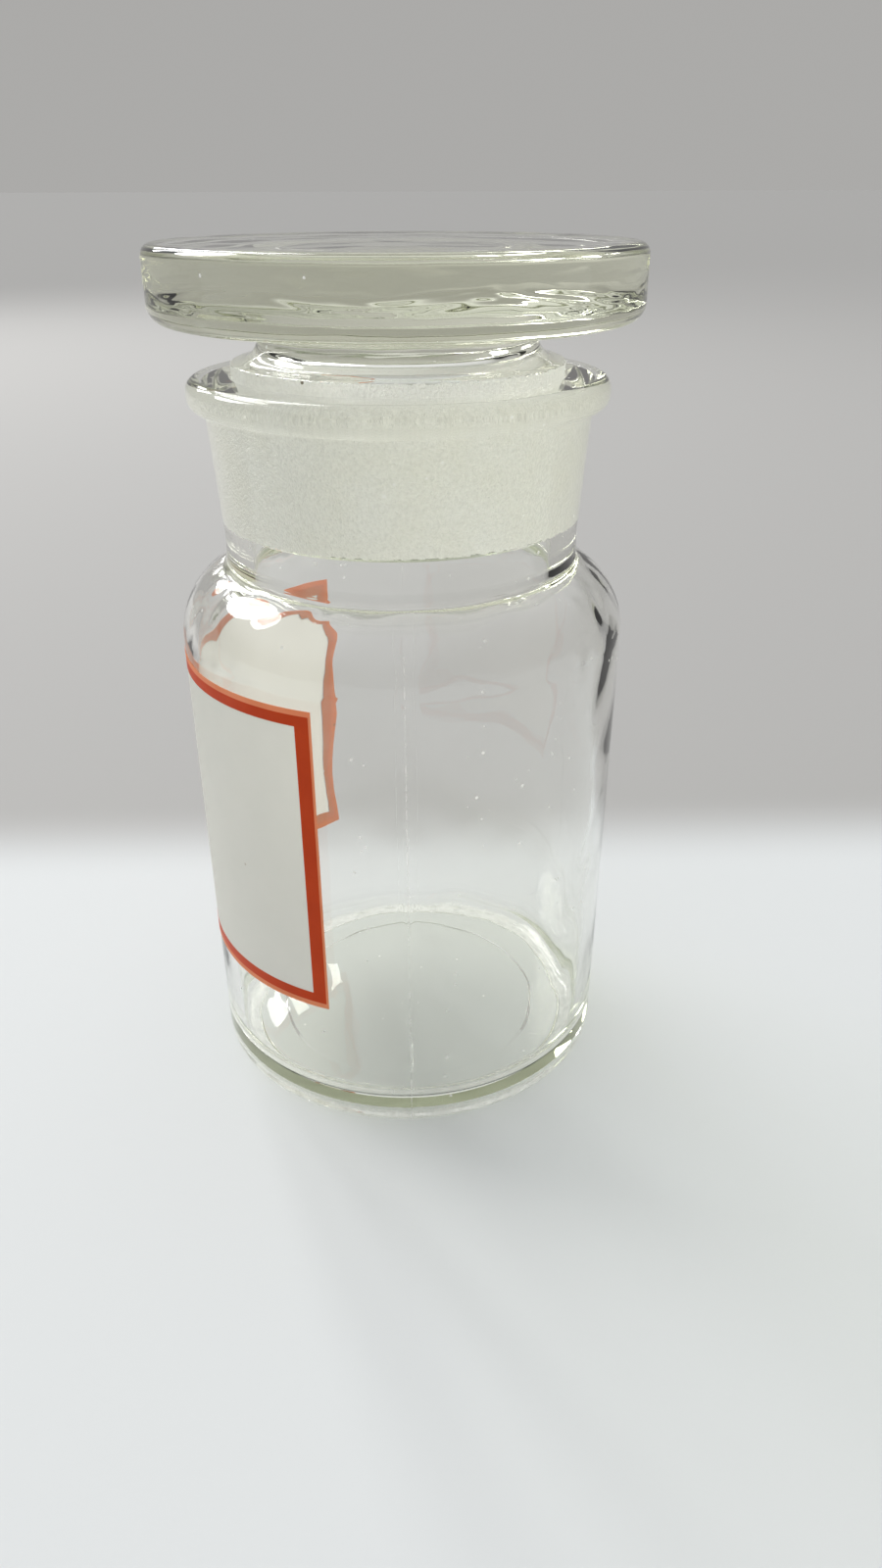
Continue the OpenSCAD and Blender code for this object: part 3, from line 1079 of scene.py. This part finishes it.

# %% [markdown]
# ## Fired enamel
#
# Enamel is ground glass and pigment, fired until it flows. It has a satin gloss, a fine grain from
# the screen, slow clouds of thicker and thinner colour and a few dark pinholes. A little light comes
# through it, more where it is thin. The frame shows two tones, deep over the white panel and pale on
# bare glass, where the paler colour is painted light coming through the glass from behind. The panel
# under it is tinted so that the frame's colour stays clean.

# %% Shared enamel pattern and the four materials


def make_fired():
    """Colour, roughness and normal of fired enamel between a deep and a pale tone."""
    inputs = {"Vector": "vector", "Deep": "colour", "Pale": "colour", "Roughness": "value"}
    outputs = {"Color": "colour", "Roughness": "value", "Normal": "vector"}
    group, source, target = new_group("Fired Enamel", inputs, outputs)
    cloud = noise(group, source["Vector"], 240.0, Detail=5.0)
    grain = noise(group, source["Vector"], 1700.0, Detail=2.0)
    pinholes = place(group, specks, {"Scale": 260.0, "Dot Size": 0.055, "Share": 0.10},
                     {"Vector": source["Vector"]})["Mask"]
    thick = ramp(group, cloud, [(0.35, 0.0), (0.65, 1.0)]).outputs["Color"]
    tone = mix_colours(group, thick, source["Deep"], source["Pale"])
    join(group, mix_colours(group, pinholes, tone, (0.22, 0.17, 0.13)), target["Color"])
    uneven = ramp(group, grain, [(0.3, 0.0), (0.7, 0.14)]).outputs["Color"]
    join(group, compute(group, "ADD", uneven, source["Roughness"]), target["Roughness"])
    bump = put(group, "ShaderNodeBump", {"Strength": 0.15, "Distance": 0.05 * MM})
    join(group, grain, bump.inputs["Height"])
    join(group, bump.outputs["Normal"], target["Normal"])
    return group


fired = make_fired()


def enamel_material(name, deep, pale, glow_share, glow_colour):
    """Fired enamel between two tones, with a share of light that comes through."""
    material, tree, output = new_material(name)
    spot = put(tree, "ShaderNodeTexCoord").outputs["Object"]
    look = place(tree, fired, {"Deep": (*deep, 1), "Pale": (*pale, 1), "Roughness": 0.3},
                 {"Vector": spot})
    shader = put(tree, "ShaderNodeBsdfPrincipled", {"IOR": 1.5, "Specular IOR Level": 0.2})
    glow = put(tree, "ShaderNodeBsdfTranslucent", {"Color": (*glow_colour, 1)})
    mix = put(tree, "ShaderNodeMixShader", {"Fac": glow_share})
    join(tree, look["Color"], shader.inputs["Base Color"])
    join(tree, look["Roughness"], shader.inputs["Roughness"])
    join(tree, look["Normal"], shader.inputs["Normal"])
    join(tree, shader.outputs["BSDF"], mix.inputs[1])
    join(tree, glow.outputs[0], mix.inputs[2])
    join(tree, mix.outputs[0], output.inputs["Surface"])
    return material


panel.data.materials.append(enamel_material(
    "white_enamel", (0.83, 0.855, 0.87), (0.87, 0.89, 0.905), 0.66, (1.0, 0.975, 0.93)))
panel.data.materials.append(enamel_material(
    "white_under_orange", (1.0, 0.33, 0.16), (1.0, 0.42, 0.25), 0.12, (1.0, 0.62, 0.42)))
border.data.materials.append(enamel_material(
    "orange_on_white", (0.60, 0.058, 0.004), (0.66, 0.070, 0.006), 0.25, (1.0, 0.24, 0.06)))
# The frame's part on bare glass: its paler orange is painted light, standing for light that comes through
# the glass behind it.
border.data.materials.append(enamel_material(
    "backlit_orange_on_glass", (0.84, 0.38, 0.20), (0.90, 0.45, 0.26), 0.5, (1.0, 0.47, 0.24)))
print("enamels:", [slot.name for slot in (*panel.data.materials, *border.data.materials)])

# %% [markdown]
# Each face takes its enamel from where it lies: a panel face is either open in the window or under
# the frame, and a frame face lies either on the panel or on bare glass.

# %% Which face has which enamel
bar_half = label_half - label_angle(frame_w)
for face in panel.data.polygons:
    in_window = abs(around_of(face.center)) < bar_half and (
        label_z + frame_w < face.center.z < label_top_z - frame_w)
    face.material_index = 0 if in_window else 1
on_glass = 0
for face in border.data.polygons:
    beside = not -panel_far < around_of(face.center) < panel_near
    if beside or not panel_low < face.center.z < panel_high:
        face.material_index = 1
        on_glass += 1
print(on_glass, "faces of the frame lie on bare glass")

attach(panel, "bottle_body")
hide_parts("label_panel")
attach(border, "bottle_body")
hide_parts("label_frame")
